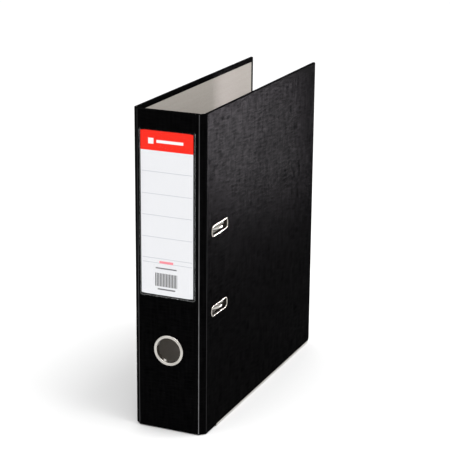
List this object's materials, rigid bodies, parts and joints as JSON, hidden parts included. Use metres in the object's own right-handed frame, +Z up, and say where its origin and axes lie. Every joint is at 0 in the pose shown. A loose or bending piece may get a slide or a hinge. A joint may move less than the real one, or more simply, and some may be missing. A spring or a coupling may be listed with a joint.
{
  "type": "lever arch file",
  "caption": "Upright lever arch file for A4 paper with a labelled spine, finger ring, slotted front cover and a lever-operated arch mechanism.",
  "frame": {"origin": "Centre of the file's footprint, on the surface it stands on.", "axes": "+Z up along the file's height; -Y towards the spine, +Y towards the open side; +X towards the front cover, -X towards the back cover that carries the mechanism."},
  "size_m": [0.0766, 0.285, 0.318],
  "materials": {
    "black_foil": "fine linen emboss",
    "grey_board": "raw",
    "lining_paper": "matt",
    "nickel": "polished",
    "steel": "zinc plated",
    "clear_film": "clear",
    "label_card": "printed",
    "black_plastic": "satin"
  },
  "bodies": {
    "back_cover": {"back_cover_skin": "black_foil", "back_cover_board": "grey_board", "back_cover_lining": "lining_paper", "back_edge_rail": "nickel", "base_plate": "steel", "post_upper": "nickel", "post_lower": "nickel", "mechanism_rivet_1": "nickel", "mechanism_rivet_2": "nickel", "mechanism_rivet_3": "nickel", "mechanism_rivet_4": "nickel", "lever_pin": "steel", "crank_spring": "steel"},
    "spine": {"spine_skin": "black_foil", "spine_board": "grey_board", "spine_lining": "lining_paper", "finger_ring_front": "nickel", "finger_ring_back": "steel", "label_pocket": "clear_film", "label_card": "label_card", "back_hinge_skin": "black_foil", "back_hinge_lining": "lining_paper"},
    "front_cover": {"front_cover_skin": "black_foil", "front_cover_board": "grey_board", "front_cover_lining": "lining_paper", "front_edge_rail": "nickel", "slot_eyelet_upper": "nickel", "slot_eyelet_lower": "nickel", "slot_backing_upper": "steel", "slot_backing_lower": "steel", "front_hinge_skin": "black_foil", "front_hinge_lining": "lining_paper"},
    "arch": {"arch_wire": "nickel"},
    "lever": {"lever_handle": "steel", "roller_pin": "steel"},
    "roller": {"crank_roller": "black_plastic"},
    "compressor": {"compressor_bar": "black_plastic"}
  },
  "joints": [
    {"name": "spine_hinge", "type": "hinge", "parent": "back_cover", "child": "spine", "pos_m": [-0.03579, -0.13939, 0.159], "axis": [0, 0, -1], "range_deg": [0, 90], "deforming": ["back_hinge_skin", "back_hinge_lining"]},
    {"name": "front_cover_hinge", "type": "hinge", "parent": "spine", "child": "front_cover", "pos_m": [0.03579, -0.13939, 0.159], "axis": [0, 0, -1], "range_deg": [0, 180], "deforming": ["front_hinge_skin", "front_hinge_lining"]},
    {"name": "lever_hinge", "type": "hinge", "parent": "back_cover", "child": "lever", "pos_m": [-0.0245, -0.1016, 0.1864], "axis": [0, -1, 0], "range_deg": [0, 32]},
    {"name": "arch_hinge", "type": "hinge", "parent": "back_cover", "child": "arch", "pos_m": [-0.0299, -0.1191, 0.1604], "axis": [0, 0, -1], "range_deg": [0, 12]},
    {"name": "roller_spin", "type": "hinge", "parent": "lever", "child": "roller", "pos_m": [-0.0245, -0.1016, 0.1654], "axis": [0, 1, 0], "continuous": true},
    {"name": "compressor_slide", "type": "slide", "parent": "back_cover", "child": "compressor", "axis": [1, 0, 0], "range_m": [0, 0.03]}
  ],
  "couplings": [
    {"joint": "arch_hinge", "follows": "lever_hinge", "ratio": 0.375}
  ]
}
